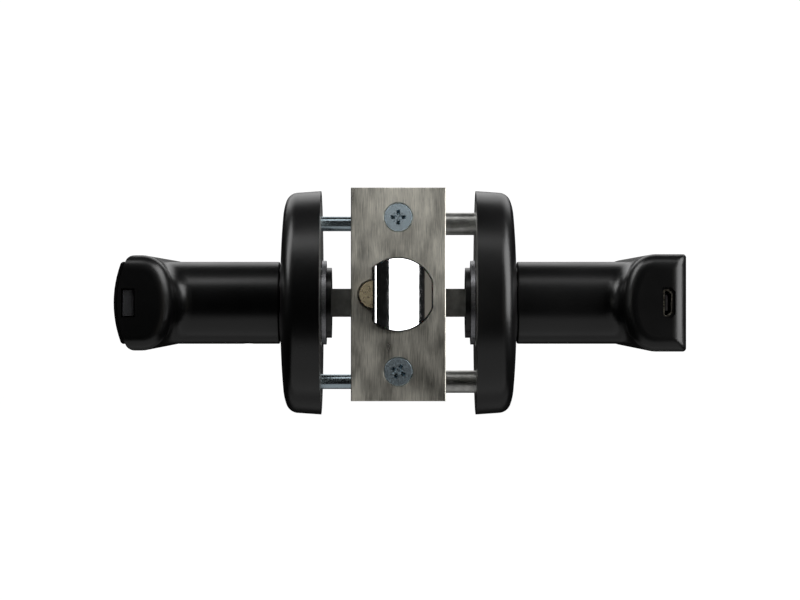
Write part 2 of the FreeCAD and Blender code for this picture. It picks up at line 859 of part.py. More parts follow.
def clutch_housing():
    """The block fixed in the outside lever's neck that carries the pin and the motor."""
    body = new_body("clutch_housing")
    start = "door / 2 + 7.3"
    loops = [("circle", "0", "0", "neck_bore - 0.02"), ("circle", "0", "0", "spindle_bore"),
             ("circle", "0", "pin_place", "pin_radius + 0.05")]
    pad(body, "YZ", loops, start, f"{start} + 10")
    node(body, "clutch_housing")


def clutch_pin():
    """The hollow pin that the motor's screw drives into the driver."""
    start, length = "door / 2 + 7.6", "9.4"
    pin = rod(ABOUT_X, start, "0", "pin_place", "pin_radius", length)
    thread = rod(ABOUT_X, f"{start} + 2", "0", "pin_place", "clutch_screw_radius + 0.1", "9")
    node(less(pin, thread), "clutch_pin")


def clutch_screw():
    """The lead screw on the motor's shaft."""
    screw = rod(ABOUT_X, "door / 2 + 13.5", "0", "pin_place", "clutch_screw_radius", "7.5")
    node(screw, "clutch_screw")


def clutch_motor():
    """The small motor in the outside lever's neck."""
    can = rod(ABOUT_X, "door / 2 + 21.2", "0", "pin_place", "motor_radius", "13")
    flange = rod(ABOUT_X, "door / 2 + 34.2", "0", "pin_place", "motor_radius * 0.5", "1")
    node(joined(can, flange), "clutch_motor")


def lead_cable():
    """The cable through the spindle, on the axis that both levers turn about."""
    start = "-(grip_back + 5)"
    node(rod(ABOUT_X, start, "0", "0", "cable_radius", "2 * (grip_back + 5)"), "lead_cable")


# --- the latch ----------------------------------------------------------------------------


def latch_opening(margin):
    """The outlines that the bolt and the plunger pass through."""
    radius = f"(bolt_radius + {margin})"
    left, right = f"(bolt_flat + {margin})", f"(bolt_side + {margin})"
    left_z = f"sqrt({radius}^2 - {left}^2)"
    right_z = f"sqrt({radius}^2 - {right}^2)"
    return [
        (f"-{left}", f"latch_rise - {left_z}", radius, 1),
        (right, f"latch_rise - {right_z}"),
        (right, f"latch_rise + {right_z}", radius, 1),
        (f"-{left}", f"latch_rise + {left_z}"),
    ]


def opening_with_plunger(margin):
    """One outline round both the bolt and the plunger beside it."""
    outline = latch_opening(margin)
    side = outline[0][0]
    reach = f"(plunger_radius + {margin})"
    notch = [
        (side, f"latch_rise + {reach}", reach, 1),
        (f"{side} - {reach}", "latch_rise", reach, 1),
        (side, f"latch_rise - {reach}"),
    ]
    return outline + notch


def faceplate():
    """The plate in the door's edge, with countersunk holes and the latch's opening."""
    body = new_body("faceplate_blank")
    low, high = "-backset", "-backset + faceplate_thick"
    outer = block("-faceplate_half_width", "latch_rise - faceplate_half_height",
                  "faceplate_half_width", "latch_rise + faceplate_half_height")
    pad(body, "XZ", [outer], low, high)
    front = number(low)
    round_edges(body, "faceplate_edge", lambda middle, edge: abs(middle.y - front) < 1e-6)
    cut(body, "XZ", [opening_with_plunger("0.45")], low, high)
    cones = []
    for sign in (1, -1):
        cones.append(countersink(sign, "screw_head + 0.25", "screw_shoulder + 0.15",
                                 "backset", "faceplate_thick"))
    node(less(body, *cones), "faceplate")


def countersink(sign, wide, narrow, from_edge, depth):
    cone = document.addObject("Part::Cone", "countersink")
    cone.Placement = FreeCAD.Placement(FreeCAD.Vector(), ABOUT_Y)
    bind(cone, Radius1=wide, Radius2=narrow, Height=depth)
    return place(cone, "0", f"-({from_edge})", f"latch_rise + {sign} * screw_spacing / 2")


def backing_plate():
    """The plate behind the faceplate that the latch's tube is swaged to."""
    body = new_body("latch_backing_plate")
    low, high = "-backset + faceplate_thick", "-backset + faceplate_thick + backing_thick"
    outer = block("-faceplate_half_width + 0.5", "latch_rise - faceplate_half_height + 0.5",
                  "faceplate_half_width - 0.5", "latch_rise + faceplate_half_height - 0.5")
    pad(body, "XZ", [outer], low, high)
    holes = [("circle", "0", f"latch_rise + {sign} * screw_spacing / 2", "screw_shoulder + 0.15")
             for sign in (1, -1)]
    cut(body, "XZ", [("circle", "0", "latch_rise", "tube_radius"), *holes], low, high)
    node(body, "latch_backing_plate")


def faceplate_screws():
    """Two countersunk wood screws with cross recesses."""
    screws = []
    for sign, tilt in ((1, 0), (-1, 27)):
        height = f"latch_rise + {sign} * screw_spacing / 2"
        head = countersink(sign, "screw_head", "screw_shoulder", "backset", "faceplate_thick")
        shoulder = rod(ABOUT_Y, "0", "-backset + faceplate_thick", height, "screw_shoulder",
                       "backing_thick + 0.5")
        shank = rod(ABOUT_Y, "0", "-backset + faceplate_thick + backing_thick + 0.5", height,
                    "screw_shank", "screw_length - backing_thick - 0.5")
        point = document.addObject("Part::Cone", "point")
        point.Placement = FreeCAD.Placement(FreeCAD.Vector(), ABOUT_Y)
        bind(point, Radius1="screw_shank", Radius2="0.3", Height="4")
        place(point, "0", "-backset + faceplate_thick + screw_length", height)
        recess = []
        for long_side, short_side, turned in (("4.2", "0.9", 0), ("0.9", "4.2", 0),
                                              ("2.6", "0.45", 45), ("0.45", "2.6", 45)):
            slot = document.addObject("Part::Box", "slot")
            bind(slot, Length=long_side, Height=short_side, Width="1.3")
            spin = FreeCAD.Rotation(FreeCAD.Vector(0, 1, 0), tilt + turned)
            slot.Placement = FreeCAD.Placement(FreeCAD.Vector(), spin)
            angle = f"{tilt + turned}"
            half_long, half_short = f"{long_side} / 2", f"{short_side} / 2"
            across = f"-({half_long} * cos({angle}) + {half_short} * sin({angle}))"
            up = f"{half_long} * sin({angle}) - {half_short} * cos({angle})"
            recess.append(place(slot, across, "-backset - 0.1", f"{height} + {up}"))
        well = document.addObject("Part::Cone", "well")
        well.Placement = FreeCAD.Placement(FreeCAD.Vector(), ABOUT_Y)
        bind(well, Radius1="1.25", Radius2="0.55", Height="2.5")
        recess.append(place(well, "0", "-backset - 0.1", height))
        screws.append(less(joined(head, shoulder, shank, point), *recess))
    node(group(*screws), "faceplate_screws")


def latch_tube():
    """The tube from the backing plate to the latch's case."""
    start = "-backset + faceplate_thick"
    length = f"case_front - ({start})"
    tube = rod(ABOUT_Y, "0", start, "latch_rise", "tube_radius", length)
    bore = rod(ABOUT_Y, "0", f"{start} - 1", "latch_rise", "tube_radius - tube_wall",
               f"{length} + 2")
    node(less(tube, bore), "latch_tube")


def rivet_places():
    """The case's rivets, one near each corner."""
    return [(along, up) for along in ("case_front + 3", "case_back - 3")
            for up in ("case_bottom + 3", "case_top - 2.2")]


def latch_case():
    """The box round the hub, with an opening into the tube and a bearing hole on each side."""
    body = new_body("latch_case")
    outer = block("case_front", "case_bottom", "case_back", "case_top")
    inner = block("case_front + case_wall", "case_bottom + case_wall",
                  "case_back - case_wall", "case_top - case_wall")
    pad(body, "YZ", [outer], "-case_half_width", "case_half_width")
    cut(body, "YZ", [inner], "-case_half_width + case_wall", "case_half_width - case_wall")
    cut(body, "YZ", [("circle", "0", "0", "hub_radius + 0.05")],
        "-case_half_width", "case_half_width")
    low_x, high_x = "-case_half_width + case_wall", "case_half_width - case_wall"
    slot = block(low_x, "latch_rise - 8", high_x, "latch_rise + 10")
    cut(body, "XZ", [slot], "case_front", "case_front + case_wall")
    holes = [("circle", along, up, "rivet_radius") for along, up in rivet_places()]
    cut(body, "YZ", holes, "-case_half_width", "case_half_width")
    node(body, "latch_case")


def case_rivets():
    """Four rivets through the case's corners."""
    rivets = [rod(ABOUT_X, "-case_half_width - 0.5", along, up, "rivet_radius",
                  "case_half_width * 2 + 1") for along, up in rivet_places()]
    node(group(*rivets), "case_rivets")


def bolt_guide():
    """The collar in the tube that the bolt and the plunger slide in."""
    body = new_body("bolt_guide")
    outer = ("circle", "0", "latch_rise", "tube_radius - tube_wall - 0.05")
    start = "-backset + faceplate_thick + backing_thick"
    pad(body, "XZ", [outer], start, f"{start} + 9")
    cut(body, "XZ", [opening_with_plunger("0.12")], start, f"{start} + 9")
    node(body, "bolt_guide")


def spring_seat():
    """The wall across the tube that both of the latch's springs push against."""
    body = new_body("spring_seat")
    pad(body, "XZ", [("circle", "0", "latch_rise", "tube_radius - tube_wall - 0.05")],
        "-29.5", "-28.3")
    cut(body, "XZ", [block("2.4", "latch_rise - 6", "5.8", "latch_rise + 8.5")],
        "-29.5", "-28.3")
    node(body, "spring_seat")


def latch_bolt():
    """The bolt: a cylinder with two flats and a curved bevel on the closing side."""
    body = new_body("latch_bolt")
    tip = "-(backset + bolt_throw)"
    pad(body, "XZ", [latch_opening("0")], tip, "bolt_back")
    bevel = [
        ("-bolt_flat + 0.5", f"{tip} - 1"),
        ("bolt_side + 1", f"{tip} - 1"),
        ("bolt_side + 1", f"{tip} + 11.75"),
        ("bolt_side - 0.6", f"{tip} + 11.2", "24", 1),
        ("-bolt_flat + 0.8", f"{tip} + 0.2"),
        ("-bolt_flat + 0.5", tip),
    ]
    cut(body, "XY", [bevel], "latch_rise - 12", "latch_rise + 12")
    node(body, "latch_bolt")


def bolt_tail():
    """The flat link from the bolt to the tab that the hub's finger pushes."""
    body = new_body("bolt_tail")
    tab_face = "-finger_arm * sin(finger_lean) + finger_tip + 0.35"
    outline = [
        ("bolt_back", "latch_rise - 3"),
        ("-26", "latch_rise - 3"),
        ("-14.5", "9"),
        (f"{tab_face} + 2", "9"),
        (f"{tab_face} + 2", "18.2"),
        (f"{tab_face} - 4", "18.2"),
        (f"{tab_face} - 4", "14"),
        ("-16.3", "14"),
        ("-16.3", "11.5"),
        ("-26", "latch_rise + 5"),
        ("bolt_back", "latch_rise + 5"),
    ]
    pad(body, "YZ", [outline], "3.2", "4.8")
    tab = block(tab_face, "13.4", f"{tab_face} + 2", "18.2")
    pad(body, "YZ", [tab], "-2.4", "3.2")
    node(body, "bolt_tail")


def deadlock_plunger():
    """The half-round plunger beside the bolt."""
    body = new_body("deadlock_plunger")
    side = "-(bolt_flat + slide_gap)"
    outline = [
        (side, "latch_rise + plunger_radius", "plunger_radius", 1),
        (f"{side} - plunger_radius", "latch_rise", "plunger_radius", 1),
        (side, "latch_rise - plunger_radius"),
    ]
    pad(body, "XZ", [outline], "-(backset + plunger_reach)", "bolt_back - 2")
    node(body, "deadlock_plunger")


def latch_springs():
    """The bolt's spring and the plunger's thinner one."""
    node(coil(ABOUT_Y, "-1.6", "bolt_back + 0.5", "latch_rise", "3.2", "0.5",
              "-29.5 - bolt_back - 1", "5"), "bolt_spring")
    node(coil(ABOUT_Y, "-8.2", "bolt_back - 1.6", "latch_rise", "1.2", "0.2",
              "-29.5 - bolt_back + 1.3", "12"), "plunger_spring")


def latch_hub():
    """The hub on the square spindle, with the finger that pulls the bolt back."""
    body = new_body("latch_hub")
    size = "(spindle / 2 + 0.02)"
    square = block(f"-{size}", f"-{size}", size, size)
    pad(body, "YZ", [("circle", "0", "0", "hub_radius"), square],
        "-case_half_width - 0.8", "case_half_width + 0.8")
    lean_y, lean_z = "-sin(finger_lean)", "cos(finger_lean)"

    def on_finger(along, aside):
        """A point at a distance along the leaning finger and to one side of it."""
        return (f"{lean_y} * {along} + {lean_z} * {aside}",
                f"{lean_z} * {along} - ({lean_y}) * {aside}")

    root = "(hub_radius - 1)"
    finger = [
        on_finger(root, "1.4"),
        on_finger("finger_arm", "1.4"),
        on_finger("finger_arm", "(0 - 1.4)"),
        on_finger(root, "(0 - 1.4)"),
    ]
    pad(body, "YZ", [finger], "-2.2", "2.2")
    tip_y, tip_z = on_finger("finger_arm", "0")
    pad(body, "YZ", [("circle", tip_y, tip_z, "finger_tip")], "-2.2", "2.2")
    node(body, "latch_hub")


# --- the whole lock -------------------------------------------------------------------------


def build():
    for side, word in ((OUTSIDE, "outside"), (INSIDE, "inside")):
        rose(side, f"{word}_rose")
        mounting_plate(side, f"{word}_mounting_plate")
        gasket(side, f"{word}_gasket")
        neck_bushing(side, f"{word}_neck_bushing")
        return_spring(side, f"{word}_return_spring")
        return_cam(side, f"{word}_return_cam")
        circlip(side, f"{word}_circlip")
    mounting_posts()
    through_bolts()
    outside_lever()
    inside_lever()
    lever_grub_screw()
    keypad_glass()
    keypad_seal()
    keypad_board()
    keypad_lights()
    usb_shell()
    usb_tongue()
    usb_board()
    battery_cover()
    release_button()
    button_spring()
    battery_tray()
    cells()
    battery_contacts()
    main_board()
    spindle_hub()
    square_spindle()
    clutch_driver()
    clutch_housing()
    clutch_pin()
    clutch_screw()
    clutch_motor()
    lead_cable()
    faceplate()
    backing_plate()
    faceplate_screws()
    latch_tube()
    latch_case()
    case_rivets()
    bolt_guide()
    spring_seat()
    latch_bolt()
    bolt_tail()
    deadlock_plunger()
    latch_springs()
    latch_hub()
    document.recompute()


def check():
    for thing in document.Objects:
        if "Invalid" in thing.State or "Error" in thing.State:
            sys.exit(f"{thing.Label} is {thing.State}")
    for thing in nodes:
        if thing.Shape.isNull() or not thing.Shape.isValid() or not thing.Shape.Solids:
            sys.exit(f"{thing.Label} has no valid solid")


def export():
    os.makedirs("parts", exist_ok=True)
    for thing in nodes:
        thing.Shape.exportStep(f"parts/{thing.Label}.step")
        box = thing.Shape.BoundBox
        print(f"{thing.Label:24s} {len(thing.Shape.Solids)} solids, {thing.Shape.Volume:9.1f} mm3, "
              f"X {box.XMin:.1f}..{box.XMax:.1f} Y {box.YMin:.1f}..{box.YMax:.1f} "
              f"Z {box.ZMin:.1f}..{box.ZMax:.1f}")


fill_sheet()
build()
check()
export()
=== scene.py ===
"""Looks and studio for a keypad lever lock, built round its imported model."""

import math

import bmesh
import bpy
from mathutils import Matrix, Vector


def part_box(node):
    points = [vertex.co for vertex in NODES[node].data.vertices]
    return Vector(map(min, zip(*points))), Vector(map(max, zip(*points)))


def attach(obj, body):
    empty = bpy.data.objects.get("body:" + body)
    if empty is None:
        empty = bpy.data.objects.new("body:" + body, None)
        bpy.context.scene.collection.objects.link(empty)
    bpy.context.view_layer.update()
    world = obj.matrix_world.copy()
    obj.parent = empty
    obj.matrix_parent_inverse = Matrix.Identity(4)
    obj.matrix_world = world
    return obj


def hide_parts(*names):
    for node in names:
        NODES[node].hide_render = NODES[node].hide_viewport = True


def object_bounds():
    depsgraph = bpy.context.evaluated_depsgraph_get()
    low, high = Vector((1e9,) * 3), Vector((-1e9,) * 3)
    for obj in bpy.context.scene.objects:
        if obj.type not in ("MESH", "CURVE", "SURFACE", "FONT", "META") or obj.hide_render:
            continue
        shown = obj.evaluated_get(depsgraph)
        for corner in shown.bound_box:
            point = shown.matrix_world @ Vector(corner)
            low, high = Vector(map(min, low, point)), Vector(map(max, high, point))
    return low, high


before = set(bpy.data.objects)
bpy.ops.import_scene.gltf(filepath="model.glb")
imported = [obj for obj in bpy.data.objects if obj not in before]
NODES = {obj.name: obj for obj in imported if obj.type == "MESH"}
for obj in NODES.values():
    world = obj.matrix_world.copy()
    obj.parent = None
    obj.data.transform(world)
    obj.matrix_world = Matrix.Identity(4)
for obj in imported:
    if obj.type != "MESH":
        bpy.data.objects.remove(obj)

bl_info = {
    "name": "Keypad Lever Lock",
    "version": (1, 0, 0),
    "blender": (4, 5, 0),
    "location": "3D View > Sidebar > Lock",
    "description": "Finishes the parts of a keypad lever lock and sets up its studio",
    "category": "Object",
}

MM = 0.001
CAD_LOW, CAD_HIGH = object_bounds()

# The faceplate screws
SCREW_SHOULDER = 2.3 * MM
SCREW_CORE = 1.4 * MM
SCREW_RIM = 0.12 * MM
THREAD_CREST = 1.9 * MM
THREAD_PITCH = 1.6 * MM
THREAD_START = 4.2 * MM
THREAD_SUNK = 0.12 * MM
POINT_RUN = 3.6 * MM
LOWER_SCREW_TURN = math.radians(27)

# The cross recess: reach from the centre, half width, depth and how much it narrows
RECESS_ARM = (2.15 * MM, 0.52 * MM, 2.4 * MM, 0.42)
RECESS_TICK = (1.75 * MM, 0.14 * MM, 0.7 * MM, 0.8)
RECESS_WELL = (0.78 * MM, 0.78 * MM, 2.9 * MM, 0.15)
QUARTER_TURN = math.pi / 2

# The keypad
KEYPAD_COLUMNS = 6
KEYPAD_ROWS = ("123456", "7890")
FACING_OUT = Matrix(((0, 0, 1), (1, 0, 0), (0, 1, 0))).to_4x4()

# The camera's aim, a little off the spindle
AIM_X = 0.45 * MM
AIM_Z = 0.8 * MM

# Each light: azimuth and elevation in degrees, width and height, the studio setting that drives
# it, its share of that and its distance.  Azimuth 0 is in front and 90 on the outside.
LIGHTS = {
    "left_box": (-82, 40, (0.5, 0.8), "side_power", 1.0, 1.0),
    "right_box": (67, 22, (0.85, 1.3), "side_power", 2.9, 1.0),
    "top_box": (0, 66, (0.9, 0.25), "key_power", 1.0, 1.0),
    "left_neck_box": (-28, 62, (0.35, 0.25), "key_power", 0.5, 1.0),
    "back_box": (180, 35, (1.2, 0.6), "side_power", 0.5, 1.0),
    "bounce": (0, -72, (1.5, 1.3), "bounce_power", 1.0, 1.0),
    "rear_bounce": (180, -60, (1.5, 0.8), "bounce_power", 0.25, 1.0),
    "front_box": (0, 10, (0.4, 0.16), "front_power", 1.0, 1.3),
    "warm_reflector": (28, 0, (0.33, 0.8), "side_power", 0.024, 1.0),
}
EDGE_METALS = ("faceplate", "deadlock_plunger", "upper_screw", "lower_screw")
WARM_WHITE = (1, 0.93, 0.78)
WHITE = (1, 1, 1, 1)
BACKDROP_LEVEL = 1.05
FLOOR_RADIUS = 9


# --- properties ---------------------------------------------------------------------------


def colour(name, description, default):
    return bpy.props.FloatVectorProperty(
        name=name, description=description, default=default,
        subtype="COLOR", size=3, min=0, max=1,
    )


def factor(name, description, default):
    return bpy.props.FloatProperty(
        name=name, description=description, default=default, subtype="FACTOR", min=0, max=1,
    )


def length(name, description, default):
    return bpy.props.FloatProperty(
        name=name, description=description, default=default, subtype="DISTANCE", unit="LENGTH",
    )


def power(name, description, default):
    return bpy.props.FloatProperty(
        name=name, description=description, default=default, unit="POWER", min=0,
    )


class LockFinishes(bpy.types.PropertyGroup):
    """Colours and gloss of the lock's finishes."""

    coating: colour("Coating", "Satin black coating of the handles", (0.003, 0.003, 0.0032))
    coating_roughness: factor("Coating Roughness", "How broad its highlights are", 0.3)
    stainless: colour("Stainless", "Brushed faceplate", (0.62, 0.6, 0.53))
    stainless_roughness: factor("Stainless Roughness", "Roughness along the grain", 0.3)
    chrome: colour("Chrome", "Polished latch bolt", (0.82, 0.83, 0.84))
    plunger: colour("Plunger", "Nickel-washed brass plunger", (0.44, 0.37, 0.24))
    zinc: colour("Zinc", "Bright zinc plating of the screws", (0.44, 0.53, 0.58))
    steel: colour("Steel", "Plated steel of the hidden parts", (0.5, 0.5, 0.48))
    acetal: colour("Acetal", "Moulded bushings", (0.78, 0.78, 0.74))
    legend: colour("Legend", "Digits on the keypad", (0.85, 0.9, 0.95))
    board: colour("Board", "Solder mask of the circuit boards", (0.012, 0.09, 0.04))
    cell_wrap: colour("Cell Wrap", "Wrap of the battery cells", (0.05, 0.1, 0.2))


class LockSizes(bpy.types.PropertyGroup):
    """Sizes of the details that the finishes add."""

    digit_height: length("Digit Height", "Height of a keypad digit", 6.2 * MM)
    legend_depth: length("Legend Depth", "Thickness of a keypad digit", 0.04 * MM)


class LockStudio(bpy.types.PropertyGroup):
    """Camera and light."""

    camera_distance: length("Camera Distance", "From the faceplate to the camera", 0.9)
    view_width: length("View Width", "Width of the view at the faceplate", 213.92 * MM)
    floor_drop: length("Floor Drop", "Height of the lock's lowest point over the floor", 0.25)
    floor_glow: factor("Floor Glow", "Evenness of the floor's white", 1.0)
    room_level: factor("Room Level", "Light that the rest of the room sends back", 0.006)
    key_power: power("Key Power", "Strength of the light overhead", 0.9)
    side_power: power("Side Power", "Strength of each light at a side", 6)
    front_power: power("Front Power", "Strength of the light on the edge's metals", 0.62)
    bounce_power: power("Bounce Power", "Light that comes up from the floor", 2.6)


# --- node helpers -------------------------------------------------------------------------


class Shader:
    """A material whose nodes are made one after another."""

    def __init__(self, name, base, roughness, metallic=0.0):
        self.material = bpy.data.materials.new(name)
        self.material.use_nodes = True
        self.tree = self.material.node_tree
        self.tree.nodes.clear()
        output = self.tree.nodes.new("ShaderNodeOutputMaterial")
        self.surface = self.tree.nodes.new("ShaderNodeBsdfPrincipled")
        self.join(self.surface.outputs["BSDF"], output.inputs["Surface"])
        self.set(**{"Base Color": (*base, 1), "Roughness": roughness, "Metallic": metallic})
        self.place = self.node("ShaderNodeTexCoord").outputs["Object"]
        self.bumped = None

    def set(self, **values):
        for name, value in values.items():
            self.surface.inputs[name].default_value = value

    def node(self, kind, **settings):
        made = self.tree.nodes.new(kind)
        for name, value in settings.items():
            setattr(made, name, value)
        return made

    def join(self, source, target):
        self.tree.links.new(source, target)

    def noise(self, scale, detail=4.0, stretch=(1, 1, 1), roughness=0.55):
        """Noise over the part's own space; stretch lengthens it along an axis."""
        mapping = self.node("ShaderNodeMapping")
        mapping.inputs["Scale"].default_value = [1 / s for s in stretch]
        self.join(self.place, mapping.inputs["Vector"])
        noise = self.node("ShaderNodeTexNoise")
        for name, value in (("Scale", scale), ("Detail", detail), ("Roughness", roughness)):
            noise.inputs[name].default_value = value
        self.join(mapping.outputs[0], noise.inputs["Vector"])
        return noise.outputs["Fac"]

    def mean(self, first, second):
        """Halfway between two textures."""
        mix = self.node("ShaderNodeMix")
        mix.inputs["Factor"].default_value = 0.5
        self.join(first, mix.inputs["A"])
        self.join(second, mix.inputs["B"])
        return mix.outputs["Result"]

    def spread(self, source, low, high, start=0.3, stop=0.7):
        """Maps a texture's values from start..stop to low..high."""
        scaled = self.node("ShaderNodeMapRange")
        limits = (("From Min", start), ("From Max", stop), ("To Min", low), ("To Max", high))
        for name, value in limits:
            scaled.inputs[name].default_value = value
        self.join(source, scaled.inputs["Value"])
        return scaled.outputs["Result"]

    def tint(self, source, dark, light, start=0.3, stop=0.7):
        """Colours the surface from dark to light over a texture."""
        ramp = self.node("ShaderNodeValToRGB")
        low, high = ramp.color_ramp.elements
        low.position, high.position = start, stop
        low.color, high.color = (*dark, 1), (*light, 1)
        self.join(source, ramp.inputs["Fac"])
        self.join(ramp.outputs["Color"], self.surface.inputs["Base Color"])

    def roughen(self, source, low, high):
        self.join(self.spread(source, low, high), self.surface.inputs["Roughness"])

    def bump(self, source, depth, strength=1.0):
        """Adds relief of the given depth in metres to whatever relief there is."""
        bump = self.node("ShaderNodeBump")
        bump.inputs["Strength"].default_value = strength
        bump.inputs["Distance"].default_value = depth
        self.join(source, bump.inputs["Height"])
        if self.bumped:
            self.join(self.bumped, bump.inputs["Normal"])
        self.bumped = bump.outputs["Normal"]
        self.join(self.bumped, self.surface.inputs["Normal"])

    def wear(self, base, worn, reach, amount):
        """Lightens the convex edges, broken up by noise, and colours the rest base."""
        bevel = self.node("ShaderNodeBevel", samples=4)
        bevel.inputs["Radius"].default_value = reach
        geometry = self.node("ShaderNodeNewGeometry")
        dot = self.node("ShaderNodeVectorMath", operation="DOT_PRODUCT")
        self.join(bevel.outputs["Normal"], dot.inputs[0])
        self.join(geometry.outputs["Normal"], dot.inputs[1])
        edge = self.spread(dot.outputs["Value"], amount, 0.0, 0.9, 0.995)
        patchy = self.node("ShaderNodeMath", operation="MULTIPLY")
        self.join(edge, patchy.inputs[0])
        self.join(self.spread(self.noise(900), 0, 1), patchy.inputs[1])
        self.tint(patchy.outputs[0], base, worn, 0, 1)


def lighter(base, gain):
    return tuple(min(1, c * gain) for c in base)


def finishes():
    return bpy.context.scene.lock_finishes


def sizes():
    return bpy.context.scene.lock_sizes


def wear_finish(material, *names):
    """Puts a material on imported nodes."""
    for name in names:
        mesh = NODES[name].data
        mesh.materials.clear()
        mesh.materials.append(material)
        smooth(NODES[name])


def smooth(thing, angle=32):
    """Smooth shading except over edges sharper than the angle."""
    mesh = thing.data
    mesh.shade_smooth()
    bm = bmesh.new()
    bm.from_mesh(mesh)
    limit = math.radians(angle)
    for edge in bm.edges:
        edge.smooth = len(edge.link_faces) == 2 and edge.calc_face_angle(0) < limit
    bm.to_mesh(mesh)
    bm.free()


# --- finishes -----------------------------------------------------------------------------


def satin_black():
    """Baked satin black: a fine even texture, faint cloudiness and slightly rubbed edges."""
    f = finishes()
    base, rough = tuple(f.coating), f.coating_roughness
    shader = Shader("satin_black_coating", base, rough)
    shader.wear(base, lighter(base, 3.5), 0.35 * MM, 0.5)
    shader.roughen(shader.noise(60, 5), rough - 0.03, rough + 0.05)
    shader.bump(shader.noise(3800, 2), 0.012 * MM, 0.35)
    shader.bump(shader.noise(700, 3), 0.02 * MM, 0.12)
    shader.set(**{"Specular IOR Level": 0.5})
    return shader.material


def brushed_stainless():
    """Stainless steel with an upright brushed grain and a faint cast."""
    f = finishes()
    base = tuple(f.stainless)
    shader = Shader("brushed_stainless", base, f.stainless_roughness, 1.0)
    grain = shader.noise(7000, 3, (1, 1, 40), 0.7)
    patches = shader.noise(160, 5, (1, 1, 2.5))
    shader.tint(shader.mean(grain, patches), lighter(base, 0.5), lighter(base, 1.4), 0.4, 0.6)
    shader.roughen(patches, 0.26, 0.4)
    shader.bump(grain, 0.006 * MM, 0.5)
    shader.set(**{"Anisotropic": 0.6, "Anisotropic Rotation": 0.0})
    return shader.material


def mirror_chrome():
    """Mirror-bright plating with the lightest polishing haze."""
    base = tuple(finishes().chrome)
    shader = Shader("mirror_chrome", base, 0.05, 1.0)
    shader.roughen(shader.noise(500, 4), 0.03, 0.09)
    shader.tint(shader.noise(90, 3), lighter(base, 0.95), base)
    shader.bump(shader.noise(260, 2, (1, 1, 6)), 0.02 * MM, 0.08)
    return shader.material


def washed_brass():
    """Brass under a thin nickel wash that lets its warmth through in patches."""
    base = tuple(finishes().plunger)
    shader = Shader("nickel_washed_brass", base, 0.3, 1.0)
    shader.tint(shader.noise(300, 4), lighter(base, 0.75), lighter(base, 1.3))
    shader.roughen(shader.noise(1200, 4, (1, 8, 1)), 0.22, 0.38)
    shader.bump(shader.noise(3000, 3, (1, 12, 1)), 0.008 * MM, 0.4)
    return shader.material


def bright_zinc():
    """Bluish zinc plating with a light crystalline mottling."""
    base = tuple(finishes().zinc)
    shader = Shader("bright_zinc", base, 0.25, 1.0)
    shader.tint(shader.noise(500, 4), lighter(base, 0.95), lighter(base, 1.05))
    shader.roughen(shader.noise(1900, 4), 0.2, 0.28)
    shader.bump(shader.noise(2600, 3), 0.004 * MM, 0.05)
    return shader.material


def plated_steel():
    """Zinc-plated pressed steel, duller than the screws."""
    base = tuple(finishes().steel)
    shader = Shader("plated_steel", base, 0.35, 1.0)
    shader.tint(shader.noise(420, 5), lighter(base, 0.78), lighter(base, 1.15))
    shader.roughen(shader.noise(900, 5), 0.28, 0.48)
    shader.bump(shader.noise(1600, 4), 0.01 * MM, 0.4)
    return shader.material


def spring_wire():
    """Dark drawn spring steel with fine draw lines."""
    shader = Shader("spring_wire", (0.3, 0.3, 0.31), 0.35, 1.0)
    shader.tint(shader.noise(2400, 3), (0.2, 0.2, 0.21), (0.38, 0.38, 0.4))
    shader.roughen(shader.noise(3200, 3), 0.28, 0.45)
    shader.bump(shader.noise(5200, 2), 0.006 * MM, 0.4)
    return shader.material


def moulded_acetal():
    """Off-white moulded plastic with a faint flow pattern."""
    base = tuple(finishes().acetal)
    shader = Shader("moulded_acetal", base, 0.45)
    shader.tint(shader.noise(120, 3), lighter(base, 0.93), base)
    shader.roughen(shader.noise(800, 3), 0.38, 0.52)
    shader.bump(shader.noise(2400, 3), 0.01 * MM, 0.3)
    shader.set(**{"Subsurface Weight": 0.15, "Subsurface Scale": 0.002})
    return shader.material


def black_foam():
    """Closed-cell foam with small pores, their middles darkened as painted shade."""
    shader = Shader("black_foam", (0.025, 0.025, 0.026), 0.9)
    pores = shader.node("ShaderNodeTexVoronoi")
    pores.inputs["Scale"].default_value = 2600
    shader.join(shader.place, pores.inputs["Vector"])
    # Painted shade: each pore's middle, where the bump dents it, is coloured darker.
    shader.tint(pores.outputs["Distance"], (0.01, 0.01, 0.01), (0.04, 0.04, 0.042), 0, 0.6)
    shader.bump(pores.outputs["Distance"], 0.06 * MM, 0.8)
    return shader.material


def panel_glass():
    """Black-backed cover glass: deep, clear and very slightly wavy."""
    shader = Shader("panel_glass", (0.006, 0.006, 0.007), 0.06)
    shader.roughen(shader.noise(140, 4), 0.04, 0.1)
    shader.bump(shader.noise(70, 2), 0.01 * MM, 0.1)
    shader.set(**{"Specular IOR Level": 0.55, "Coat Weight": 0.6, "Coat Roughness": 0.03})
    return shader.material


def legend_ink():
    """Softly lit legends on the glass."""
    base = tuple(finishes().legend)
    shader = Shader("legend_ink", base, 0.5)
    shader.tint(shader.noise(900, 3), lighter(base, 0.85), base)
    shader.bump(shader.noise(4000, 2), 0.004 * MM, 0.3)
    shader.set(**{"Emission Color": (*base, 1), "Emission Strength": 0.25})
    return shader.material


def fine_plastic(name, base, rough):
    """Spark-eroded black plastic."""
    shader = Shader(name, base, rough)
    shader.tint(shader.noise(2200, 4), lighter(base, 0.75), lighter(base, 1.3))
    shader.roughen(shader.noise(1500, 3), rough - 0.06, rough + 0.08)
    shader.bump(shader.noise(4200, 3), 0.015 * MM, 0.6)
    return shader.material


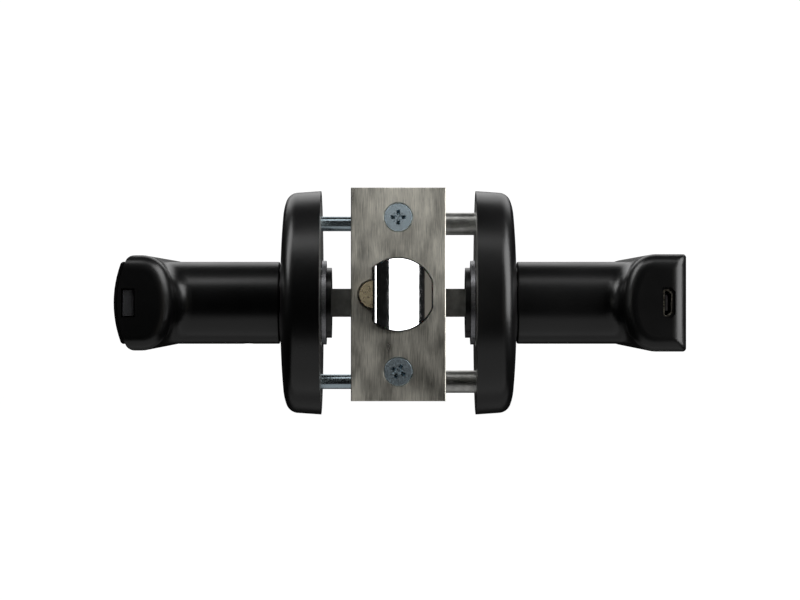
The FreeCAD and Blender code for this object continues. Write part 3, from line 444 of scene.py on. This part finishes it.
def solder_mask():
    """Green circuit board with faint straight tracks under the mask."""
    base = tuple(finishes().board)
    shader = Shader("solder_mask", base, 0.3)
    tracks = shader.node("ShaderNodeTexBrick")
    tracks.inputs["Scale"].default_value = 420
    tracks.inputs["Mortar Size"].default_value = 0.05
    tracks.inputs["Color1"].default_value = (*base, 1)
    tracks.inputs["Color2"].default_value = (*lighter(base, 1.35), 1)
    tracks.inputs["Mortar"].default_value = (*lighter(base, 2.2), 1)
    shader.join(shader.place, tracks.inputs["Vector"])
    shader.join(tracks.outputs["Color"], shader.surface.inputs["Base Color"])
    shader.bump(tracks.outputs["Fac"], 0.02 * MM, 0.4)
    shader.roughen(shader.noise(700, 3), 0.25, 0.4)
    return shader.material


def contact_metal():
    """Nickel-silver contact metal."""
    shader = Shader("contact_metal", (0.62, 0.58, 0.47), 0.25, 1.0)
    shader.tint(shader.noise(1500, 3), (0.5, 0.46, 0.36), (0.68, 0.66, 0.6))
    shader.roughen(shader.noise(1900, 3), 0.2, 0.36)
    shader.bump(shader.noise(3000, 3), 0.006 * MM, 0.3)
    return shader.material


def wrapped_can():
    """The cell's plain wrap with faint bands."""
    base = tuple(finishes().cell_wrap)
    shader = Shader("cell_wrap", base, 0.35)
    shader.tint(shader.noise(60, 2, (1, 8, 1)), lighter(base, 0.8), lighter(base, 1.3))
    shader.roughen(shader.noise(500, 3), 0.28, 0.42)
    shader.bump(shader.noise(220, 3, (1, 3, 1)), 0.02 * MM, 0.25)
    return shader.material


# --- pieces -------------------------------------------------------------------------------


class LOCK_OT_handles(bpy.types.Operator):
    """Coat the levers, the roses, the battery cover and the button in black"""

    bl_idname = "lock.handles"
    bl_label = "Coat Handles"

    def execute(self, context):
        coat = satin_black()
        wear_finish(coat, "outside_lever", "inside_lever", "outside_rose", "inside_rose",
                    "battery_cover")
        wear_finish(fine_plastic("button_plastic", (0.05, 0.05, 0.054), 0.4), "release_button")
        return {"FINISHED"}


class LOCK_OT_faceplate(bpy.types.Operator):
    """Finish the faceplate, all the screws, the bolt and the plunger"""

    bl_idname = "lock.faceplate"
    bl_label = "Finish Faceplate"

    def execute(self, context):
        wear_finish(brushed_stainless(), "faceplate")
        zinc = bright_zinc()
        wear_finish(zinc, "through_bolts", "lever_grub_screw")
        add_screws(zinc)
        wear_finish(mirror_chrome(), "latch_bolt")
        wear_finish(washed_brass(), "deadlock_plunger")
        return {"FINISHED"}


def turned_profile(bm, profile, sides=48):
    """Turns (height, radius) points about +Y into a closed surface; its ends are capped."""
    rings = []
    for height, radius in profile:
        rings.append([
            bm.verts.new((radius * math.cos(a), height, radius * math.sin(a)))
            for a in (2 * math.pi * n / sides for n in range(sides))])
    for low, high in zip(rings, rings[1:]):
        for n in range(sides):
            m = (n + 1) % sides
            bm.faces.new((low[n], low[m], high[m], high[n]))
    bm.faces.new(rings[0])
    bm.faces.new(list(reversed(rings[-1])))
    bmesh.ops.recalc_face_normals(bm, faces=bm.faces)


def wood_screw_profile(head, shoulder, core, length):
    """A countersunk head with a broken rim, a shoulder, and a threaded core with a point."""
    return [
        (0.0, head - SCREW_RIM), (SCREW_RIM, head), (0.42 * MM, head), (1.8 * MM, shoulder),
        (3.5 * MM, shoulder), (3.9 * MM, core), (length - 4 * MM, core), (length, 0.25 * MM),
    ]


def thread_ridge(bm, start, stop, core, crest, pitch, sides=28):
    """A closed helical ridge of V section from start to stop, which tapers out at both ends."""
    count = int((stop - start) / pitch * sides)
    rings = []
    for n in range(count + 1):
        turn = 2 * math.pi * n / sides
        height = start + pitch * n / sides
        fade = min(1, n / sides, (count - n) / sides)
        sunk = core - THREAD_SUNK
        taper = max(0.0, (height - (stop - POINT_RUN)) / POINT_RUN)
        base = sunk * (1 - 0.8 * taper)
        top = base + (crest - sunk) * max(fade, 0.05) * (1 - 0.55 * taper)
        half = pitch * 0.3
        section = ((height - half, base), (height, top), (height + half, base))
        rings.append([bm.verts.new((r * math.cos(turn), y, r * math.sin(turn)))
                      for y, r in section])
    for low, high in zip(rings, rings[1:]):
        for n in range(3):
            m = (n + 1) % 3
            bm.faces.new((low[n], high[n], high[m], low[m]))
    bm.faces.new(list(reversed(rings[0])))
    bm.faces.new(rings[-1])
    bmesh.ops.recalc_face_normals(bm, faces=bm.faces)


def cross_recess(spin):
    """The tapered cross with its four thin ticks and centre well, as a mesh to cut with."""
    bm = bmesh.new()

    def wedge(angle, reach, half_width, depth, taper):
        """A bar across the centre that narrows towards its bottom."""
        corners = []
        for y, grow in ((-0.3 * MM, 1.0), (depth, taper)):
            for sx, sz in ((-1, -1), (1, -1), (1, 1), (-1, 1)):
                corners.append(bm.verts.new((sx * reach * grow, y, sz * half_width * grow)))
        for face in ((0, 1, 2, 3), (7, 6, 5, 4), (0, 4, 5, 1), (1, 5, 6, 2), (2, 6, 7, 3),
                     (3, 7, 4, 0)):
            bm.faces.new([corners[n] for n in face])
        turn = Matrix.Rotation(angle + spin, 4, "Y")
        bmesh.ops.transform(bm, matrix=turn, verts=corners)

    for angle in (0, QUARTER_TURN):
        wedge(angle, *RECESS_ARM)
        wedge(QUARTER_TURN / 2 + angle, *RECESS_TICK)
    wedge(QUARTER_TURN / 2, *RECESS_WELL)
    bmesh.ops.recalc_face_normals(bm, faces=bm.faces)
    return bm_object("recess_tool", bm)


def bm_object(name, bm):
    mesh = bpy.data.meshes.new(name)
    bm.to_mesh(mesh)
    bm.free()
    thing = bpy.data.objects.new(name, mesh)
    bpy.context.scene.collection.objects.link(thing)
    return thing


def carve(thing, tool):
    """Takes the tool's shape out of the thing and throws the tool away."""
    cutter = thing.modifiers.new("carve", "BOOLEAN")
    cutter.operation, cutter.solver, cutter.use_self = "DIFFERENCE", "EXACT", True
    cutter.object = tool
    bpy.context.view_layer.update()
    graph = bpy.context.evaluated_depsgraph_get()
    mesh = bpy.data.meshes.new_from_object(thing.evaluated_get(graph))
    thing.modifiers.clear()
    thing.data = mesh
    bpy.data.objects.remove(tool)


def add_screws(material):
    """The two wood screws with tapered cross recesses and rolled threads."""
    low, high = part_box("faceplate_screws")
    head = (high.x - low.x) / 2
    length = high.y - low.y
    for name, height, spin in (("upper_screw", high.z - head, 0),
                               ("lower_screw", low.z + head, LOWER_SCREW_TURN)):
        bm = bmesh.new()
        turned_profile(bm, wood_screw_profile(head, SCREW_SHOULDER, SCREW_CORE, length))
        screw = bm_object(name, bm)
        carve(screw, cross_recess(spin))
        ridge = bmesh.new()
        thread_ridge(ridge, THREAD_START, length - 0.4 * MM, SCREW_CORE, THREAD_CREST,
                     THREAD_PITCH)
        thread = bm_object(name + "_thread", ridge)
        for part in (screw, thread):
            part.data.transform(Matrix.Translation((0, low.y, height)))
            part.data.materials.clear()
            part.data.materials.append(material)
            smooth(part)
            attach(part, "door_set")
            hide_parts("faceplate_screws")


class LOCK_OT_keypad(bpy.types.Operator):
    """Finish the keypad, the boards and the foam, and lay the legends on the glass"""

    bl_idname = "lock.keypad"
    bl_label = "Finish Keypad"

    def execute(self, context):
        wear_finish(panel_glass(), "keypad_glass")
        wear_finish(black_foam(), "keypad_seal", "outside_gasket", "inside_gasket")
        wear_finish(solder_mask(), "keypad_board", "main_board", "usb_board")
        wear_finish(legend_ink(), "keypad_lights")
        lay_legends(NODES["keypad_lights"].data.materials[0])
        return {"FINISHED"}


def lay_legends(material):
    """Ten digits and two plain marks in two rows along the keypad."""
    low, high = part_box("keypad_glass")
    face = high.x
    step = (high.y - low.y) / KEYPAD_COLUMNS
    height = sizes().digit_height
    for row, text in enumerate(KEYPAD_ROWS):
        z = (low.z + high.z) / 2 + (0.5 - row) * (high.z - low.z) / 2
        for column, sign in enumerate(text):
            y = low.y + (column + 0.5) * step
            legend(f"legend_{sign}", sign, Vector((face, y, z)), height, material)
        if row:
            tick_y, ring_y = (low.y + (n + 0.5) * step for n in (4, 5))
            tick_mark(Vector((face, tick_y, z)), height, material)
            ring_mark(Vector((face, ring_y, z)), height, material)


def legend(name, text, place, height, material):
    """A digit as a thin closed mesh that faces outwards."""
    curve = bpy.data.curves.new(name, "FONT")
    curve.body = text
    curve.size = height * 1.4
    curve.extrude = sizes().legend_depth / 2
    curve.align_x = "CENTER"
    curve.align_y = "CENTER"
    curve.resolution_u = 6
    shape = bpy.data.objects.new(name + "_curve", curve)
    bpy.context.scene.collection.objects.link(shape)
    bpy.context.view_layer.update()
    mesh = bpy.data.meshes.new_from_object(shape)
    bpy.data.objects.remove(shape)
    mesh.transform(Matrix.Translation(place) @ FACING_OUT)
    settle(name, mesh, material)


def settle(name, mesh, material):
    """Makes a legend from its mesh, merges doubled points and lets it ride on the lever."""
    bm = bmesh.new()
    bm.from_mesh(mesh)
    bmesh.ops.remove_doubles(bm, verts=bm.verts, dist=0.002 * MM)
    bmesh.ops.recalc_face_normals(bm, faces=bm.faces)
    bm.to_mesh(mesh)
    bm.free()
    mesh.materials.clear()
    mesh.materials.append(material)
    thing = bpy.data.objects.new(name, mesh)
    bpy.context.scene.collection.objects.link(thing)
    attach(thing, "outside_handle")


def stroke(points, width):
    """A flat closed strip of constant width along a line, as a thin prism."""
    depth = sizes().legend_depth
    bm = bmesh.new()
    sides = []
    for at, point in enumerate(points):
        before = points[max(at - 1, 0)]
        after = points[min(at + 1, len(points) - 1)]
        along = (after - before).normalized()
        aside = Vector((-along.y, along.x)) * width / 2
        sides.append((point + aside, point - aside))
    rings = []
    for left, right in sides:
        rings.append([bm.verts.new((p.x, p.y, z)) for p, z in (
            (left, -depth / 2), (right, -depth / 2), (right, depth / 2), (left, depth / 2))])
    for first, second in zip(rings, rings[1:]):
        for n in range(4):
            m = (n + 1) % 4
            bm.faces.new((first[n], first[m], second[m], second[n]))
    bm.faces.new(rings[0])
    bm.faces.new(list(reversed(rings[-1])))
    mesh = bpy.data.meshes.new("mark")
    bm.to_mesh(mesh)
    bm.free()
    return mesh


def tick_mark(place, height, material):
    points = [Vector(p) * height for p in ((-0.45, 0), (-0.12, -0.33), (0.5, 0.38))]
    mesh = stroke(points, height * 0.13)
    mesh.transform(Matrix.Translation(place) @ FACING_OUT)
    settle("legend_tick", mesh, material)


def ring_mark(place, height, material):
    """An open ring with a gap at the top."""
    turns = [math.radians(a) for a in range(120, 421, 12)]
    points = [Vector((math.cos(a), math.sin(a))) * height * 0.42 for a in turns]
    mesh = stroke(points, height * 0.12)
    mesh.transform(Matrix.Translation(place) @ FACING_OUT)
    settle("legend_ring", mesh, material)


class LOCK_OT_socket(bpy.types.Operator):
    """Finish the power socket, the battery contacts and the black mouldings"""

    bl_idname = "lock.socket"
    bl_label = "Finish Socket"

    def execute(self, context):
        contact = contact_metal()
        wear_finish(contact, "usb_shell", "battery_contacts")
        wear_finish(fine_plastic("socket_plastic", (0.02, 0.02, 0.021), 0.45), "usb_tongue",
                    "battery_tray", "clutch_housing")
        lay_contacts(contact)
        return {"FINISHED"}


def lay_contacts(material):
    """Five contact strips on the socket's tongue."""
    low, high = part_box("usb_tongue")
    depth = 0.05 * MM
    pitch = (high.z - low.z) / 6
    bm = bmesh.new()
    for n in range(5):
        middle = low.z + (n + 1) * pitch
        bar = bmesh.ops.create_cube(bm, size=1)["verts"]
        size = Vector((depth, (high.y - low.y) * 0.8, pitch * 0.45))
        place = Vector((high.x + depth / 2, low.y + (high.y - low.y) * 0.45, middle))
        for vert in bar:
            vert.co = Vector(a * b for a, b in zip(vert.co, size)) + place
    bmesh.ops.bevel(bm, geom=list(bm.edges), offset=depth * 0.3, segments=1, affect="EDGES")
    mesh = bpy.data.meshes.new("socket_contacts")
    bm.to_mesh(mesh)
    bm.free()
    mesh.materials.append(material)
    strips = bpy.data.objects.new("socket_contacts", mesh)
    bpy.context.scene.collection.objects.link(strips)
    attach(strips, "outside_handle")


class LOCK_OT_power(bpy.types.Operator):
    """Finish the battery cells"""

    bl_idname = "lock.power"
    bl_label = "Finish Power"

    def execute(self, context):
        wear_finish(wrapped_can(), *(f"battery_cell_{n}" for n in range(1, 5)))
        return {"FINISHED"}


class LOCK_OT_mechanism(bpy.types.Operator):
    """Finish the latch, the spindle, the clutch and the springs"""

    bl_idname = "lock.mechanism"
    bl_label = "Finish Mechanism"

    def execute(self, context):
        wear_finish(plated_steel(), "outside_mounting_plate", "inside_mounting_plate",
                    "mounting_posts", "latch_backing_plate", "latch_tube", "latch_case",
                    "case_rivets", "spring_seat", "bolt_tail", "latch_hub", "square_spindle",
                    "spindle_hub", "clutch_driver", "clutch_screw", "clutch_pin",
                    "outside_return_cam", "inside_return_cam", "clutch_motor")
        wear_finish(spring_wire(), "outside_return_spring", "inside_return_spring",
                    "bolt_spring", "plunger_spring", "button_spring", "outside_circlip",
                    "inside_circlip")
        wear_finish(moulded_acetal(), "outside_neck_bushing", "inside_neck_bushing",
                    "bolt_guide")
        wear_finish(fine_plastic("cable_jacket", (0.03, 0.03, 0.03), 0.5), "lead_cable")
        return {"FINISHED"}


# --- studio -------------------------------------------------------------------------------


def soft_box(name, azimuth, elevation, size, watts, distance):
    """A rectangular light that faces the lock."""
    data = bpy.data.lights.new(name, "AREA")
    data.shape = "RECTANGLE"
    data.size, data.size_y = size
    data.energy = watts
    light = bpy.data.objects.new(name, data)
    across, up = math.radians(azimuth), math.radians(elevation)
    place = Vector((math.sin(across) * math.cos(up), -math.cos(across) * math.cos(up),
                    math.sin(up))) * distance
    light.location = place
    light.rotation_euler = (-place).to_track_quat("-Z", "Y").to_euler()
    bpy.context.scene.collection.objects.link(light)
    return light


def light_only(light, *names):
    """Keeps a light to the named pieces."""
    lit = bpy.data.collections.new(light.name + "_lit")
    for name in names:
        lit.objects.link(NODES[name] if name in NODES else bpy.data.objects[name])
    light.light_linking.receiver_collection = lit


def white_world(camera_level, light_level):
    """A white backdrop for the camera and a dimmer even light on the lock."""
    world = bpy.data.worlds.new("studio_world")
    bpy.context.scene.world = world
    world.use_nodes = True
    nodes, links = world.node_tree.nodes, world.node_tree.links
    nodes.clear()
    output = nodes.new("ShaderNodeOutputWorld")
    seen, cast = nodes.new("ShaderNodeBackground"), nodes.new("ShaderNodeBackground")
    for level in (seen, cast):
        level.inputs["Color"].default_value = WHITE
    seen.inputs["Strength"].default_value = camera_level
    cast.inputs["Strength"].default_value = light_level
    paths, choose = nodes.new("ShaderNodeLightPath"), nodes.new("ShaderNodeMixShader")
    links.new(paths.outputs["Is Camera Ray"], choose.inputs[0])
    links.new(cast.outputs[0], choose.inputs[1])
    links.new(seen.outputs[0], choose.inputs[2])
    links.new(choose.outputs[0], output.inputs["Surface"])


def pale_floor(height, glow):
    """A wide round floor, almost white, with a faint unevenness."""
    bm = bmesh.new()
    bmesh.ops.create_circle(bm, cap_ends=True, segments=96, radius=FLOOR_RADIUS)
    mesh = bpy.data.meshes.new("floor")
    bm.to_mesh(mesh)
    bm.free()
    shader = Shader("pale_floor", (0.9, 0.9, 0.9), 0.8)
    shader.tint(shader.noise(2, 3), (0.88, 0.88, 0.88), (0.92, 0.92, 0.92))
    shader.set(**{"Emission Color": WHITE, "Emission Strength": glow})
    mesh.materials.append(shader.material)
    floor = bpy.data.objects.new("floor", mesh)
    floor.location.z = height
    floor.visible_glossy = floor.visible_diffuse = False
    bpy.context.scene.collection.objects.link(floor)


class LOCK_OT_stage(bpy.types.Operator):
    """Set the camera, the floor and the lights"""

    bl_idname = "lock.stage"
    bl_label = "Set Stage"

    def execute(self, context):
        studio = context.scene.lock_studio
        view = context.scene.view_settings
        view.view_transform = "Standard"
        view.look = "None"
        self.add_camera(context, studio)
        pale_floor(CAD_LOW.z - studio.floor_drop, studio.floor_glow)
        white_world(BACKDROP_LEVEL, studio.room_level)
        lights = {
            name: soft_box(name, azimuth, elevation, size, getattr(studio, source) * share, away)
            for name, (azimuth, elevation, size, source, share, away) in LIGHTS.items()
        }
        light_only(lights["front_box"], *EDGE_METALS)
        lights["warm_reflector"].data.color = WARM_WHITE
        return {"FINISHED"}

    def add_camera(self, context, studio):
        """The camera looks along +Y at the faceplate's plane, level with the spindle."""
        data = bpy.data.cameras.new("camera")
        data.sensor_width = 36
        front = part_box("faceplate")[0].y
        data.lens = data.sensor_width * studio.camera_distance / studio.view_width
        data.clip_start, data.clip_end = 0.05, 30
        camera = bpy.data.objects.new("camera", data)
        camera.location = (AIM_X, front - studio.camera_distance, AIM_Z)
        camera.rotation_euler = (math.radians(90), 0, 0)
        context.scene.collection.objects.link(camera)
        context.scene.camera = camera


# --- the add-on ---------------------------------------------------------------------------


class LOCK_PT_panel(bpy.types.Panel):
    """Lists the lock's pieces and its settings"""

    bl_label = "Keypad Lever Lock"
    bl_idname = "LOCK_PT_panel"
    bl_space_type = "VIEW_3D"
    bl_region_type = "UI"
    bl_category = "Lock"

    def draw(self, context):
        for operator in OPERATORS:
            self.layout.operator(operator.bl_idname)
        for settings in SETTINGS:
            group = getattr(context.scene, settings)
            box = self.layout.box()
            for name in group.__annotations__:
                box.prop(group, name)


SETTINGS = {
    "lock_finishes": LockFinishes,
    "lock_sizes": LockSizes,
    "lock_studio": LockStudio,
}
OPERATORS = (
    LOCK_OT_handles,
    LOCK_OT_faceplate,
    LOCK_OT_keypad,
    LOCK_OT_socket,
    LOCK_OT_power,
    LOCK_OT_mechanism,
    LOCK_OT_stage,
)


def register():
    for group in (*SETTINGS.values(), *OPERATORS, LOCK_PT_panel):
        bpy.utils.register_class(group)
    for name, group in SETTINGS.items():
        setattr(bpy.types.Scene, name, bpy.props.PointerProperty(type=group))


def unregister():
    for name in SETTINGS:
        delattr(bpy.types.Scene, name)
    for group in reversed((*SETTINGS.values(), *OPERATORS, LOCK_PT_panel)):
        bpy.utils.unregister_class(group)


def main():
    register()
    for operator in OPERATORS:
        family, name = operator.bl_idname.split(".")
        getattr(getattr(bpy.ops, family), name)()


if __name__ == "__main__":
    main()
